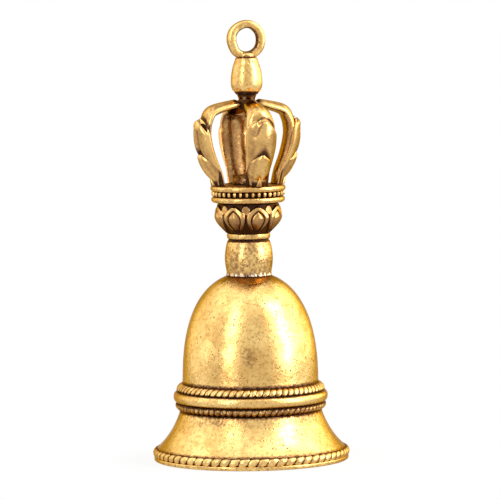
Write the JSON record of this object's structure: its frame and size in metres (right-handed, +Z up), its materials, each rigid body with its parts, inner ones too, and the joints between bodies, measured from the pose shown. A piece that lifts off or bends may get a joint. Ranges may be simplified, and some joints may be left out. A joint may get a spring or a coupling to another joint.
{
  "type": "hand bell",
  "caption": "Small cast-brass pendant hand bell with a rope-banded flared cup, lotus neck, open crown of leaf prongs, cord loop and hung clapper.",
  "frame": {"origin": "on the bell's axis, in the plane of the mouth that the bell stands on", "axes": "+Z up along the axis from the mouth to the loop; +Y along the hole of the cord loop, so two prongs lie on the Y axis and two on the X axis"},
  "size_m": [0.0269, 0.0268, 0.06],
  "materials": {
    "antique_brass": "satin cast brass, dark red-brown patina in the recesses and rubbed bright on the high places",
    "raw_brass": "dull unpolished brass wire and turned fittings inside the cup",
    "iron": "dark forged iron, rubbed grey where it strikes"
  },
  "bodies": {
    "bell": {"bell_cup": "antique_brass", "rim_rope": "antique_brass", "lower_waist_rope": "antique_brass", "waist_band": "antique_brass", "upper_waist_rope": "antique_brass", "neck_barrel": "antique_brass", "neck_collar": "antique_brass", "lotus_cup": "antique_brass", "crown_base": "antique_brass", "bead_band": "antique_brass", "crown_ring": "antique_brass", "prong_front": "antique_brass", "prong_right": "antique_brass", "prong_back": "antique_brass", "prong_left": "antique_brass", "crown_hub": "antique_brass", "finial_bud": "antique_brass", "hang_loop": "antique_brass", "eye_bolt": "raw_brass", "bell_washer": "raw_brass", "crown_nut": "antique_brass"},
    "link": {"clapper_link": "raw_brass"},
    "clapper": {"clapper_rod": "iron", "clapper_ball": "iron"}
  },
  "joints": [
    {"name": "link_swing", "type": "hinge", "parent": "bell", "child": "link", "pos_m": [0, 0, 0.01974], "axis": [1, 0, 0], "range_deg": [-20.5, 20.5]},
    {"name": "clapper_swing", "type": "hinge", "parent": "link", "child": "clapper", "pos_m": [0, 0, 0.01714], "axis": [0, 1, 0], "range_deg": [-7, 7]}
  ]
}
